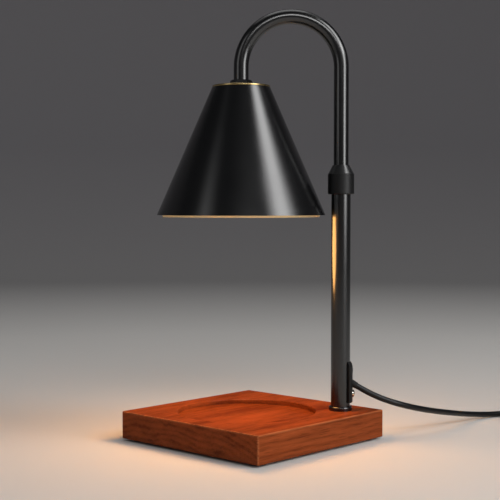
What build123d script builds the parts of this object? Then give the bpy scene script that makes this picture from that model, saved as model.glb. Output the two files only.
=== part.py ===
from build123d import *
import math
import os

# Candle warmer lamp. Millimetres, +Z up. The origin is the centre of the square base, on the
# surface that the feet stand on. +X runs along the base's diagonal, from the candle to the mast.

# ---- wooden base ----
BASE_SIDE = 150.0
BASE_THICK = 22.0
BASE_CORNER_ROUND = 1.6
BASE_EDGE_ROUND = 0.9
FOOT_HEIGHT = 2.0
FOOT_RADIUS = 7.0
FOOT_INSET = 11.5            # from a foot's centre to the two sides beside it
RECESS_X = -5.2
RECESS_RADIUS = 55.7
RECESS_DEPTH = 4.0
RECESS_LIP_ROUND = 0.8
BASE_TOP = FOOT_HEIGHT + BASE_THICK

# ---- mast and its fixing ----
MAST_X = 71.0
MAST_RADIUS = 7.8
MAST_BORE = 6.7
MAST_TOP = 212.0
SOCKET_DEPTH = 10.0          # how far the mast stands in the wood
MAST_FOOT = BASE_TOP - SOCKET_DEPTH
SLIP = 0.05                  # radial gap of pieces that fit in each other
RING_RADIUS = 9.4
RING_HEIGHT = 3.4
PLUG_LENGTH = 15.0
BOLT_RADIUS = 3.0
BOLT_HEAD_RADIUS = 5.5
BOLT_HEAD_HEIGHT = 3.3
BOLT_SOCKET_AF = 4.0
BOLT_LENGTH = 18.0
WASHER_RADIUS = 8.0
WASHER_THICK = 1.2
POCKET_RADIUS = 10.0
POCKET_DEPTH = 6.0
WASHER_TOP = FOOT_HEIGHT + POCKET_DEPTH

# ---- clamp between mast and arm ----
COLLAR_BOTTOM = 198.8
COLLAR_SHOULDER = 215.5
COLLAR_TOP = 222.3
COLLAR_RADIUS = 10.6
COLLAR_CHAMFER = 0.6
COLLAR_MOUTH = 6.3
COLLAR_TIP = 6.75            # outer radius of the cone's thin end
SEAT_LOW, SEAT_HIGH = 214.6, 218.6
BUSH_BOTTOM = 192.0
BUSH_HEAD_BOTTOM = MAST_TOP + SLIP
BUSH_HEAD_RADIUS = 7.6
BUSH_SHOULDER = 214.3
BUSH_TOP = 218.0
BUSH_TIP_RADIUS = 6.4
BUSH_SLIT = 1.0

# ---- arm ----
ARM_RADIUS = 6.0
ARM_BORE = 5.0
ARM_REACH = 80.5             # from the mast's axis to the shade's axis
BEND_RADIUS = ARM_REACH / 2
BEND_Z = 300.6               # height of the bend's centre
ARM_BOTTOM = 150.0
ARM_END = 290.2
STOP_RING_HEIGHT = 6.0
STOP_RING_RADIUS = 6.5
HEAD_X = MAST_X - ARM_REACH

# ---- shade ----
SHADE_TOP = 284.2
SHADE_BOTTOM = 182.2
SHADE_TOP_RADIUS = 23.4
SHADE_BOTTOM_RADIUS = 67.7
SHADE_WALL = 0.8
LINER_WALL = 0.5
LINER_LIP = 1.6              # how far the liner's rim shows below the shade
LIP_SETBACK = 4.2            # from the shade's edge in to the rim
LIP_WIDTH = 1.6
LIP_SLANT = 0.8              # how much narrower the rim is at its foot
FLANGE_THICK = 0.6
CAP_RADIUS = 23.3
CAP_THICK = 1.6
CAP_ROUND = 0.6
NUT_FLATS = 15.2
NIPPLE_RADIUS = 4.95
NIPPLE_BORE = 3.4
NIPPLE_BOTTOM = 277.0
NIPPLE_TOP = 299.0
SPINDLE_HOLE = 5.1           # radius of the holes that the nipple passes through

# ---- lamp holder and bulb ----
BRACKET_THICK = 1.2
BRACKET_WIDTH = 14.0
BRACKET_HALF = 14.5
BRACKET_BOTTOM = 256.0
LOCK_WASHER_THICK = 0.9
LOCK_WASHER_RADIUS = 8.5
LOCK_NUT_HEIGHT = 3.0
LOCK_NUT_FLATS = 14.0
HOLDER_RADIUS = 14.0
HOLDER_BOTTOM, HOLDER_TOP = 250.0, 272.0
HOLDER_HALF = BRACKET_HALF - BRACKET_THICK
HOLDER_SCREW_Z = 263.0
PIN_SPACING = 10.0
PIN_LENGTH = 7.0
PIN_RADIUS = 1.5
PIN_HEAD_RADIUS = 2.4
PIN_HEAD_HEIGHT = 2.0
PIN_GAP = 0.2
BULB_TWIST = 30.0            # degrees from the locked place to where the pins come free
BULB_SEAT = HOLDER_BOTTOM - 0.1
BULB_NECK_DEPTH = 9.0        # solid ceramic between the bulb's seat and its lamp room
BULB_FACE = 204.0
BULB_RADIUS = 25.0
LENS_THICK = 2.4
LENS_RADIUS = 24.0
CAPSULE_RADIUS = 4.5
CAPSULE_LENGTH = 26.0

# ---- switch housing on the outer side of the mast ----
HOUSING_RADIUS = 9.9
HOUSING_ARC = 100.0
HOUSING_BOTTOM, HOUSING_TOP = 30.4, 63.6
HOUSING_SHOULDER = 59.6
WINDOW_HALF = 4.4
WINDOW_BOTTOM, WINDOW_TOP = 30.6, 52.0
BOSS_INNER = 5.6             # distance of the boss's inner face from the mast's axis
BUTTON_Z = 37.4
BUTTON_RADIUS = 3.1
BUTTON_POCKET_RADIUS = 3.4
BUTTON_POCKET_FLOOR = 6.6
BUTTON_BACK = 8.2
BUTTON_RIM = 10.5
BUTTON_TIP = 11.9
STEM_RADIUS = 1.4
SPRING_ROOM_RADIUS = 2.6
STEM_END = 4.6
SWITCH_HALF_WIDTH = 3.4
SWITCH_DEPTH = 8.2
SWITCH_BOTTOM, SWITCH_TOP = 32.4, 41.2
HOUSING_SCREW_Z = 56.6
HOUSING_SCREW_RADIUS = 1.25
HOUSING_SCREW_HEAD = 2.4

# ---- wires inside ----
WIRE_RADIUS = 2.0
LEAD_RADIUS = 0.65
SPLICE_BOTTOM, SPLICE_TOP = 60.0, 70.0
SPLICE_RADIUS = 4.2
MAST_WIRE_TOP = 79.5
ARM_WIRE_BOTTOM = 152.0
SLACK_SWING = 2.2
SLACK_END = 4.0              # straight ends of the slack length

# ---- supply cord ----
CORD_RADIUS = 2.4
EXIT_Z = 45.8
BOOT_DROP = 31.0             # degrees below level in which the cord leaves
BOOT_LENGTH = 4.0
BOOT_ROOT_RADIUS = 2.85
BOOT_TIP_RADIUS = 2.65
GLAND_SHANK_RADIUS = 3.15
GLAND_FLANGE_RADIUS = 4.0
GLAND_FLANGE_THICK = 1.4
BOOT_ROOT_X = MAST_X + HOUSING_RADIUS - 0.4

COIL_X, COIL_Y = 268.0, 72.0
COIL_LIFT = 0.6              # the tie runs under the coil
COIL_MEAN_RADIUS = 28.8
COIL_TURN_SPREAD = 7.5       # from the mean radius to the outermost and innermost turn's line
COIL_CLEAR = 0.1
COIL_HEIGHT = 4 * CORD_RADIUS + 2 * COIL_CLEAR
COIL_OUTER = COIL_MEAN_RADIUS + COIL_TURN_SPREAD + CORD_RADIUS + COIL_CLEAR
COIL_INNER = COIL_MEAN_RADIUS - COIL_TURN_SPREAD - CORD_RADIUS - COIL_CLEAR
COIL_LINE_RADIUS = COIL_MEAN_RADIUS + COIL_TURN_SPREAD
TIE_THICK = 0.7
TIE_ARC = 24.0
TIE_ANGLE = -110.0

# the cord's line from the strain relief's tip, down to the table and into the coil
LEAD_ROUTE = [
    (83.9, 0.0, 43.7),
    (92.5, 0.0, 38.6),
    (105.0, 0.4, 32.8),
    (118.5, 2.2, 28.2),
    (134.5, 11.5, 23.1),
    (152.5, 29.0, 17.5),
    (173.0, 52.0, 11.6),
    (196.0, 78.5, 5.5),
    (219.5, 95.2, 2.5),
    (243.0, 104.7, 2.6),
    (268.0, COIL_Y + COIL_LINE_RADIUS, COIL_LIFT + CORD_RADIUS),
]
# the cord's line from the coil to the plug
TAIL_ROUTE = [
    (COIL_X + COIL_LINE_RADIUS, 76.0, COIL_LIFT + 3 * CORD_RADIUS),
    (303.3, 56.0, 6.4),
    (299.0, 38.5, 3.2),
    (291.5, 21.5, 2.6),
    (282.0, 6.5, 4.4),
    (272.5, -6.0, 7.2),
]

# ---- plug ----
PLUG_HEADING = -127.0        # degrees from +X, in plan
PLUG_BOOT_LENGTH = 22.0
PLUG_BODY_LENGTH = 24.0
PLUG_WIDTH = 22.0
PLUG_THICK = 14.0
PLUG_ROUND = 3.4
GRIP_GROOVES = 3
BLADE_SPACING = 12.7
BLADE_LENGTH = 17.0
BLADE_WIDTH = 6.3
BLADE_THICK = 1.5
BLADE_HOLE_RADIUS = 1.5

os.makedirs("parts", exist_ok=True)


def save(shape, node):
    shape.label = node
    export_step(shape, f"parts/{node}.step")


def rod(radius, low, high, x=MAST_X, y=0.0):
    """A vertical cylinder."""
    return Pos(x, y, (low + high) / 2) * Cylinder(radius, high - low)


def tube(outer, inner, low, high, x=MAST_X):
    """A vertical tube."""
    return rod(outer, low, high, x) - rod(inner, low - 1, high + 1, x)


def turned(profile, x, arc=360.0):
    """A profile of (radius, height) points turned about the vertical axis at x, centred on +X."""
    face = make_face(Plane.XZ * Polyline(*profile, close=True))
    return Pos(x, 0, 0) * Rot(0, 0, -arc / 2) * revolve(face, Axis.Z, arc)


def cross_rod(radius, near, far, z, y=0.0):
    """A cylinder along X, between two distances from the mast's axis."""
    middle = MAST_X + (near + far) / 2
    return Pos(middle, y, z) * Rot(0, 90, 0) * Cylinder(radius, far - near)


def hexagon(flats, low, high, x, hole):
    """A hexagonal nut with rounded-off corners and a round hole."""
    prism = Pos(x, 0, low) * extrude(RegularPolygon(flats / math.sqrt(3), 6), high - low)
    return prism - rod(hole, low - 1, high + 1, x)


def route_radii(points):
    """The largest arc that each corner's two runs allow: 0.45 of the shorter, over tan(turn / 2)."""
    radii = []
    for before, corner, after in zip(points, points[1:], points[2:]):
        run_in = Vector(*corner) - Vector(*before)
        run_out = Vector(*after) - Vector(*corner)
        half_turn = math.radians(run_in.get_angle(run_out)) / 2
        radii.append(0.45 * min(run_in.length, run_out.length) / math.tan(half_turn))
    return radii


def cord_tube(points, radius, name):
    """A round tube along straight runs that are joined by tangent arcs."""
    radii = route_radii(points)
    line = FilletPolyline(*points, radius=radii)
    solid = sweep(Plane(line @ 0, z_dir=line % 0) * Circle(radius), path=line)
    expected = math.pi * radius**2 * line.length
    print(name, "length", round(line.length, 1), "volume ratio", round(solid.volume / expected, 4))
    print(name, "radii", [round(r, 1) for r in radii])
    return solid


# ======================================================================================
# Base
# ======================================================================================
def make_wooden_base():
    block = Box(BASE_SIDE, BASE_SIDE, BASE_THICK)
    block = fillet(block.edges().filter_by(Axis.Z), BASE_CORNER_ROUND)
    block = fillet(block.faces().sort_by(Axis.Z)[-1].edges(), BASE_EDGE_ROUND)
    block = chamfer(block.faces().sort_by(Axis.Z)[0].edges(), BASE_EDGE_ROUND / 2)
    block = Pos(0, 0, FOOT_HEIGHT + BASE_THICK / 2) * Rot(0, 0, 45) * block
    recess = rod(RECESS_RADIUS, BASE_TOP - RECESS_DEPTH, BASE_TOP + 5, RECESS_X)
    block -= recess
    lip = block.edges().filter_by(GeomType.CIRCLE).group_by(Axis.Z)[-1]
    block = fillet(lip.sort_by(SortBy.RADIUS)[-1], RECESS_LIP_ROUND)
    socket = rod(MAST_RADIUS + SLIP, MAST_FOOT, BASE_TOP + 5)
    bolt_hole = rod(BOLT_RADIUS + 0.25, 0, MAST_FOOT + 1)
    pocket = rod(POCKET_RADIUS, 0, WASHER_TOP)
    return block - socket - bolt_hole - pocket


def make_foot(turn):
    away = BASE_SIDE / 2 - FOOT_INSET
    pad = fillet(Cylinder(FOOT_RADIUS, FOOT_HEIGHT).edges().sort_by(Axis.Z)[0], 0.5)
    return Rot(0, 0, 45 + turn) * Pos(away, away, FOOT_HEIGHT / 2) * pad


# ======================================================================================
# Mast
# ======================================================================================
def make_mast_tube():
    body = tube(MAST_RADIUS, MAST_BORE, MAST_FOOT, MAST_TOP)
    height = WINDOW_TOP - WINDOW_BOTTOM
    window = Pos(MAST_X + 7, 0, WINDOW_BOTTOM + height / 2) * Box(8, 2 * WINDOW_HALF, height)
    return body - window - cross_rod(HOUSING_SCREW_RADIUS - SLIP, 4, 9, HOUSING_SCREW_Z)


def make_mast_foot_ring():
    ring = tube(RING_RADIUS, MAST_RADIUS + SLIP, BASE_TOP, BASE_TOP + RING_HEIGHT)
    outer_rim = ring.edges().filter_by(GeomType.CIRCLE).group_by(Axis.Z)[-1].sort_by(SortBy.RADIUS)[-1]
    return fillet(outer_rim, 1.1)


def make_mast_plug():
    return tube(MAST_BORE - SLIP, BOLT_RADIUS + SLIP, MAST_FOOT, MAST_FOOT + PLUG_LENGTH)


def make_mast_bolt():
    head_top = WASHER_TOP - WASHER_THICK
    head = rod(BOLT_HEAD_RADIUS, head_top - BOLT_HEAD_HEIGHT, head_top)
    head = fillet(head.edges().sort_by(Axis.Z)[0], 1.4)
    shank = rod(BOLT_RADIUS, head_top, head_top + BOLT_LENGTH)
    key = Pos(MAST_X, 0, head_top - BOLT_HEAD_HEIGHT)
    key *= extrude(RegularPolygon(BOLT_SOCKET_AF / math.sqrt(3), 6), 2.0)
    return head + shank - key


def make_mast_washer():
    return tube(WASHER_RADIUS, BOLT_RADIUS + 0.2, WASHER_TOP - WASHER_THICK, WASHER_TOP)


# ======================================================================================
# Switch housing, button and cord gland
# ======================================================================================
def make_switch_housing():
    inner = MAST_RADIUS + SLIP
    saddle = turned(
        [
            (inner, HOUSING_BOTTOM),
            (HOUSING_RADIUS - 0.5, HOUSING_BOTTOM),
            (HOUSING_RADIUS, HOUSING_BOTTOM + 0.5),
            (HOUSING_RADIUS, HOUSING_SHOULDER),
            (HOUSING_RADIUS - 0.5, HOUSING_SHOULDER + 2.2),
            (inner + 0.5, HOUSING_TOP),
            (inner, HOUSING_TOP),
        ],
        MAST_X,
        HOUSING_ARC,
    )
    low, high = WINDOW_BOTTOM + 0.1, WINDOW_TOP - 0.1
    depth = HOUSING_RADIUS - 1 - BOSS_INNER
    boss = Pos(MAST_X + BOSS_INNER + depth / 2, 0, (low + high) / 2)
    boss *= Box(depth, 2 * (WINDOW_HALF - 0.1), high - low)
    body = saddle + boss
    body -= cross_rod(BUTTON_POCKET_RADIUS, BUTTON_POCKET_FLOOR, 14, BUTTON_Z)
    body -= cross_rod(STEM_RADIUS + SLIP, 3, 9, BUTTON_Z)
    body -= cross_rod(GLAND_SHANK_RADIUS + SLIP, 3, 14, EXIT_Z)
    body -= cross_rod(HOUSING_SCREW_RADIUS + SLIP, 5, 14, HOUSING_SCREW_Z)
    sink = HOUSING_SCREW_HEAD - HOUSING_SCREW_RADIUS
    counter = Pos(MAST_X + HOUSING_RADIUS - sink / 2, 0, HOUSING_SCREW_Z) * Rot(0, 90, 0)
    counter *= Cone(HOUSING_SCREW_RADIUS + SLIP, HOUSING_SCREW_HEAD + SLIP, sink)
    return body - counter


def make_housing_screw():
    sink = HOUSING_SCREW_HEAD - HOUSING_SCREW_RADIUS
    face = HOUSING_RADIUS - SLIP
    head = Pos(MAST_X + face - sink / 2, 0, HOUSING_SCREW_Z) * Rot(0, 90, 0)
    head *= Cone(HOUSING_SCREW_RADIUS, HOUSING_SCREW_HEAD, sink)
    shank = cross_rod(HOUSING_SCREW_RADIUS - 2 * SLIP, 5.2, face - sink, HOUSING_SCREW_Z)
    slots = [
        Pos(MAST_X + face, 0, HOUSING_SCREW_Z) * Rot(turn, 0, 0) * Box(1.2, 3.0, 0.6)
        for turn in (0, 90)
    ]
    return head + shank - slots[0] - slots[1]


def make_push_button():
    """A hollow cap with a domed end, turned in one piece with its stem."""
    spring_room = BUTTON_RIM - 0.9
    edge = [
        (STEM_END, 0),
        (STEM_END, STEM_RADIUS),
        (spring_room, STEM_RADIUS),
        (spring_room, SPRING_ROOM_RADIUS),
        (BUTTON_BACK, SPRING_ROOM_RADIUS),
        (BUTTON_BACK, BUTTON_RADIUS),
        (BUTTON_RIM, BUTTON_RADIUS),
    ]
    ball = (BUTTON_RADIUS**2 + (BUTTON_TIP - BUTTON_RIM) ** 2) / (2 * (BUTTON_TIP - BUTTON_RIM))
    half_angle = math.asin(BUTTON_RADIUS / ball) / 2
    middle = (BUTTON_TIP - ball + ball * math.cos(half_angle), ball * math.sin(half_angle))
    outline = Wire(
        [
            *Polyline(*edge).edges(),
            *ThreePointArc(edge[-1], middle, (BUTTON_TIP, 0)).edges(),
            *Line((BUTTON_TIP, 0), edge[0]).edges(),
        ]
    )
    return Pos(MAST_X, 0, BUTTON_Z) * revolve(make_face(outline), Axis.X)


def make_button_spring():
    """Flat-ground compression spring around the stem, between pocket floor and cap."""
    start, end = BUTTON_POCKET_FLOOR, BUTTON_RIM - 0.9
    wire, mean = 0.2, 2.0
    coil = Helix(pitch=0.95, height=end - start - 2 * wire, radius=mean)
    coil = sweep(Plane(coil @ 0, z_dir=coil % 0) * Circle(wire), path=coil, is_frenet=True)
    return Pos(MAST_X + start + wire, 0, BUTTON_Z) * Rot(0, 90, 0) * coil


def make_switch_body():
    height = SWITCH_TOP - SWITCH_BOTTOM
    middle = MAST_X + BOSS_INNER - SWITCH_DEPTH / 2
    case = Pos(middle, 0, SWITCH_BOTTOM + height / 2)
    case *= fillet(Box(SWITCH_DEPTH, 2 * SWITCH_HALF_WIDTH, height).edges().filter_by(Axis.X), 0.5)
    return case - cross_rod(STEM_RADIUS + 0.2, BOSS_INNER - 2.8, BOSS_INNER + 1, BUTTON_Z)


def make_cord_strain_relief():
    """A bush with a flange inside the housing and a short sleeve that points the cord down."""
    shank = cross_rod(GLAND_SHANK_RADIUS, BOSS_INNER - 1, HOUSING_RADIUS + 0.1, EXIT_Z)
    flange = cross_rod(GLAND_FLANGE_RADIUS, BOSS_INNER - GLAND_FLANGE_THICK, BOSS_INNER, EXIT_Z)
    root = Pos(BOOT_ROOT_X, 0, EXIT_Z) * Rot(0, 90 + BOOT_DROP, 0)
    boot = root * Pos(0, 0, BOOT_LENGTH / 2) * Cone(BOOT_ROOT_RADIUS, BOOT_TIP_RADIUS, BOOT_LENGTH)
    knuckle = Pos(BOOT_ROOT_X, 0, EXIT_Z) * Sphere(BOOT_ROOT_RADIUS)
    outside = Pos(MAST_X + HOUSING_RADIUS + 15, 0, EXIT_Z) * Box(30, 12, 40)
    return ((boot + knuckle) & outside) + shank + flange


# ======================================================================================
# Wires inside the mast and the arm
# ======================================================================================
def make_mast_wire():
    points = [
        (MAST_X + BOSS_INNER - GLAND_FLANGE_THICK, 0, EXIT_Z),
        (MAST_X, 0, EXIT_Z),
        (MAST_X, 0, MAST_WIRE_TOP),
    ]
    line = FilletPolyline(*points, radius=3.6)
    return sweep(Plane(line @ 0, z_dir=line % 0) * Circle(WIRE_RADIUS), path=line)


def make_switch_leads():
    leads = [
        rod(LEAD_RADIUS, SWITCH_TOP, SPLICE_BOTTOM, MAST_X - 1.8, side * 2.6)
        for side in (-1, 1)
    ]
    return Compound(children=leads)


def make_splice_sleeve():
    sleeve = tube(SPLICE_RADIUS, WIRE_RADIUS + SLIP, SPLICE_BOTTOM, SPLICE_TOP)
    return fillet(sleeve.edges().filter_by(GeomType.CIRCLE).sort_by(SortBy.RADIUS)[-2:], 0.6)


def make_slack_wire():
    """The loose length between mast and arm: a shallow S, as wide as the arm's bore allows."""
    low, high = MAST_WIRE_TOP, ARM_WIRE_BOTTOM
    first, last = low + SLACK_END, high - SLACK_END
    points = [(MAST_X, 0, low), (MAST_X, 0, first)]
    bends = 4
    for i in range(bends):
        share = (i + 0.5) / bends
        side = SLACK_SWING if i % 2 else -SLACK_SWING
        points.append((MAST_X + side, 0, first + share * (last - first)))
    points += [(MAST_X, 0, last), (MAST_X, 0, high)]
    line = FilletPolyline(*points, radius=[9.0, *[16.0] * bends, 9.0])
    return sweep(Plane(line @ 0, z_dir=line % 0) * Circle(WIRE_RADIUS - 0.1), path=line)


def arm_line(bottom, end):
    """Up the mast's axis, half round the bend and down the shade's axis."""
    rise = Line((MAST_X, 0, bottom), (MAST_X, 0, BEND_Z))
    bend = ThreePointArc(
        (MAST_X, 0, BEND_Z), (MAST_X - BEND_RADIUS, 0, BEND_Z + BEND_RADIUS), (HEAD_X, 0, BEND_Z)
    )
    drop = Line((HEAD_X, 0, BEND_Z), (HEAD_X, 0, end))
    return Wire([rise, bend, drop])


def make_arm_wire():
    line = arm_line(ARM_WIRE_BOTTOM, HOLDER_TOP)
    return sweep(Plane(line @ 0, z_dir=line % 0) * Circle(WIRE_RADIUS), path=line)


# ======================================================================================
# Clamp, arm and head
# ======================================================================================
def make_clamp_collar():
    bore = MAST_RADIUS + SLIP + 0.01
    return turned(
        [
            (bore, COLLAR_BOTTOM),
            (COLLAR_RADIUS - COLLAR_CHAMFER, COLLAR_BOTTOM),
            (COLLAR_RADIUS, COLLAR_BOTTOM + COLLAR_CHAMFER),
            (COLLAR_RADIUS, COLLAR_SHOULDER - 0.5),
            (COLLAR_RADIUS - 0.35, COLLAR_SHOULDER),
            (COLLAR_TIP, COLLAR_TOP),
            (COLLAR_MOUTH, COLLAR_TOP),
            (COLLAR_MOUTH, SEAT_HIGH + 0.2),
            (bore, SEAT_LOW),
        ],
        MAST_X,
    )


def make_collet_bush():
    bore = ARM_RADIUS + SLIP
    body = turned(
        [
            (bore, BUSH_BOTTOM),
            (MAST_BORE - SLIP, BUSH_BOTTOM),
            (MAST_BORE - SLIP, BUSH_HEAD_BOTTOM),
            (BUSH_HEAD_RADIUS, BUSH_HEAD_BOTTOM),
            (BUSH_HEAD_RADIUS, BUSH_SHOULDER),
            (BUSH_TIP_RADIUS, BUSH_TOP - 0.2),
            (bore, BUSH_TOP),
        ],
        MAST_X,
    )
    height = BUSH_TOP - BUSH_BOTTOM
    slit = Pos(MAST_X - 7, 0, BUSH_BOTTOM + 4 + height / 2) * Box(6, BUSH_SLIT, height)
    return body - slit


def make_arm_tube():
    line = arm_line(ARM_BOTTOM, ARM_END)
    section = Circle(ARM_RADIUS) - Circle(ARM_BORE)
    return sweep(Plane(line @ 0, z_dir=line % 0) * section, path=line)


def make_arm_stop_ring():
    return tube(STOP_RING_RADIUS, ARM_RADIUS + 0.02, ARM_BOTTOM, ARM_BOTTOM + STOP_RING_HEIGHT)


def cone_radius(z):
    """Outer radius of the shade's cone at height z."""
    share = (SHADE_TOP - z) / (SHADE_TOP - SHADE_BOTTOM)
    return SHADE_TOP_RADIUS + share * (SHADE_BOTTOM_RADIUS - SHADE_TOP_RADIUS)


def cone_shell(top, bottom, inset, wall):
    """Points of a cone shell with a flat, holed top, inset from the shade's outer cone."""
    return [
        (SPINDLE_HOLE, top),
        (cone_radius(top) - inset, top),
        (cone_radius(bottom) - inset, bottom),
        (cone_radius(bottom) - inset - wall, bottom),
        (cone_radius(top - wall) - inset - wall, top - wall),
        (SPINDLE_HOLE, top - wall),
    ]


def make_shade():
    return turned(cone_shell(SHADE_TOP, SHADE_BOTTOM, 0.0, SHADE_WALL), HEAD_X)


def make_shade_liner():
    """A gold cone whose foot turns in to a flange and down to a slanting rim."""
    top = SHADE_TOP - SHADE_WALL
    inset = SHADE_WALL * 1.1
    skin = turned(cone_shell(top, SHADE_BOTTOM, inset, LINER_WALL), HEAD_X)
    foot = cone_radius(SHADE_BOTTOM) - inset
    outer = SHADE_BOTTOM_RADIUS - LIP_SETBACK
    low = SHADE_BOTTOM - LINER_LIP
    lip = turned(
        [
            (foot - 0.1, SHADE_BOTTOM),
            (outer, SHADE_BOTTOM),
            (outer - LIP_SLANT, low),
            (outer - LIP_WIDTH + 0.3, low),
            (outer - LIP_WIDTH, low + 0.4),
            (outer - LIP_WIDTH, SHADE_BOTTOM + FLANGE_THICK),
            (foot - 0.4, SHADE_BOTTOM + FLANGE_THICK),
        ],
        HEAD_X,
    )
    return skin + lip


def make_shade_cap():
    cap = tube(CAP_RADIUS, SPINDLE_HOLE, SHADE_TOP, SHADE_TOP + CAP_THICK, HEAD_X)
    rims = cap.edges().filter_by(GeomType.CIRCLE).sort_by(SortBy.RADIUS)[-2:]
    return fillet(rims, CAP_ROUND)


def make_neck_nut():
    low = SHADE_TOP + CAP_THICK
    nut = hexagon(NUT_FLATS, low, ARM_END, HEAD_X, NIPPLE_RADIUS + SLIP)
    dome = rod(NUT_FLATS / math.sqrt(3), low, ARM_END, HEAD_X)
    dome = chamfer(dome.edges().sort_by(Axis.Z)[-1], 0.7, 1.3)
    return nut & dome


def make_threaded_nipple():
    nipple = tube(NIPPLE_RADIUS, NIPPLE_BORE, NIPPLE_BOTTOM, NIPPLE_TOP, HEAD_X)
    ends = nipple.edges().filter_by(GeomType.CIRCLE).sort_by(SortBy.RADIUS)[-2:]
    return chamfer(ends, 0.4)


BRACKET_TOP = SHADE_TOP - SHADE_WALL - LINER_WALL


def make_holder_bracket():
    """A strap bent into a U: one top plate and two legs."""
    height = BRACKET_TOP - BRACKET_BOTTOM
    block = Box(2 * BRACKET_HALF, BRACKET_WIDTH, height)
    strap = block - Pos(0, 0, -BRACKET_THICK) * Box(2 * HOLDER_HALF, BRACKET_WIDTH + 2, height)
    strap = Pos(HEAD_X, 0, BRACKET_BOTTOM + height / 2) * strap
    screws = Pos(HEAD_X, 0, HOLDER_SCREW_Z) * Rot(0, 90, 0) * Cylinder(1.6, 4 * BRACKET_HALF)
    return strap - rod(SPINDLE_HOLE, BRACKET_TOP - 5, BRACKET_TOP + 5, HEAD_X) - screws


def make_lock_washer():
    low = BRACKET_TOP - BRACKET_THICK - LOCK_WASHER_THICK
    return tube(LOCK_WASHER_RADIUS, SPINDLE_HOLE, low, low + LOCK_WASHER_THICK, HEAD_X)


def make_lock_nut():
    high = BRACKET_TOP - BRACKET_THICK - LOCK_WASHER_THICK
    hole = NIPPLE_RADIUS + SLIP
    return hexagon(LOCK_NUT_FLATS, high - LOCK_NUT_HEIGHT, high, HEAD_X, hole)


def pin_keyhole(locked):
    """The room that one bulb pin needs: its way in, and a curved slot to its locked angle."""
    line = CenterArc((0, 0), PIN_SPACING / 2, locked - BULB_TWIST, BULB_TWIST)
    head_low = HOLDER_BOTTOM + PIN_LENGTH - PIN_HEAD_HEIGHT - PIN_GAP
    head_high = HOLDER_BOTTOM + PIN_LENGTH + 1
    start = HOLDER_BOTTOM - 1
    slot = Pos(0, 0, start) * extrude(SlotArc(line, 2 * (PIN_RADIUS + PIN_GAP)), head_high - start)
    room = SlotArc(line, 2 * (PIN_HEAD_RADIUS + PIN_GAP))
    room = Pos(0, 0, head_low) * extrude(room, head_high - head_low)
    way_in = rod(PIN_HEAD_RADIUS + PIN_GAP, start, head_high, PIN_SPACING / 2)
    way_in = Rot(0, 0, locked - BULB_TWIST) * way_in
    return Pos(HEAD_X, 0, 0) * (slot + room + way_in)


def make_lamp_holder():
    body = rod(HOLDER_RADIUS, HOLDER_BOTTOM, HOLDER_TOP, HEAD_X)
    body = chamfer(body.edges().filter_by(GeomType.CIRCLE), 0.8)
    flats = Pos(HEAD_X, 0, (HOLDER_BOTTOM + HOLDER_TOP) / 2)
    body &= flats * Box(2 * HOLDER_HALF - 0.1, 4 * HOLDER_RADIUS, 2 * HOLDER_TOP)
    for side in (-1, 1):
        body -= pin_keyhole(side * 90.0)
        body -= rod(1.2, HOLDER_TOP - 5, HOLDER_TOP + 1, HEAD_X, side * 5.5)
        hole = Pos(HEAD_X + side * HOLDER_HALF, 0, HOLDER_SCREW_Z) * Rot(0, 90, 0)
        body -= hole * Cylinder(1.5, 9)
    return body


def make_holder_screws():
    screws = []
    for side in (-1, 1):
        at = Pos(HEAD_X, 0, HOLDER_SCREW_Z) * Rot(0, side * 90, 0)
        head = at * Pos(0, 0, BRACKET_HALF + 0.9) * Cylinder(2.7, 1.8)
        shank = at * Pos(0, 0, BRACKET_HALF - 2.2) * Cylinder(1.45, 4.4)
        slot = at * Pos(0, 0, BRACKET_HALF + 1.8) * Box(0.7, 7, 1.6)
        screws.append(head + shank - slot)
    return Compound(children=screws)


def make_bulb_body():
    """A reflector bulb's shell, from its ceramic neck down to its open rim."""
    rim, neck = BULB_FACE + 0.4, BULB_SEAT
    return turned(
        [
            (LENS_RADIUS + 0.1, rim),
            (BULB_RADIUS, rim),
            (BULB_RADIUS, rim + 4.5),
            (23.4, rim + 13.0),
            (20.0, rim + 23.0),
            (15.5, rim + 31.0),
            (13.6, rim + 35.0),
            (13.6, neck),
            (0.0, neck),
            (0.0, neck - BULB_NECK_DEPTH),
            (6.0, neck - BULB_NECK_DEPTH),
            (14.0, rim + 29.5),
            (18.5, rim + 21.5),
            (22.0, rim + 12.0),
            (LENS_RADIUS + 0.1, rim + 3.5),
        ],
        HEAD_X,
    )


def make_bulb_lens():
    lens = rod(LENS_RADIUS, BULB_FACE, BULB_FACE + LENS_THICK, HEAD_X)
    return fillet(lens.edges().sort_by(Axis.Z)[0], 1.0)


def make_bulb_capsule():
    top = BULB_SEAT - BULB_NECK_DEPTH
    body = rod(CAPSULE_RADIUS, top - CAPSULE_LENGTH, top, HEAD_X)
    return fillet(body.edges().sort_by(Axis.Z)[0], CAPSULE_RADIUS - 0.4)


def make_bulb_pins():
    pins = []
    top = HOLDER_BOTTOM + PIN_LENGTH
    for side in (-1, 1):
        y = side * PIN_SPACING / 2
        stem = rod(PIN_RADIUS, BULB_SEAT, top - PIN_HEAD_HEIGHT, HEAD_X, y)
        head = rod(PIN_HEAD_RADIUS, top - PIN_HEAD_HEIGHT, top, HEAD_X, y)
        pins.append(stem + head)
    return Compound(children=pins)


# ======================================================================================
# Supply cord
# ======================================================================================
def make_cord_coil():
    width = COIL_OUTER - COIL_INNER
    middle = (COIL_OUTER + COIL_INNER) / 2
    section = Pos(middle, COIL_LIFT + COIL_HEIGHT / 2) * RectangleRounded(width, COIL_HEIGHT, 2.3)
    return Pos(COIL_X, COIL_Y, 0) * revolve(Plane.XZ * section, Axis.Z)


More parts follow.
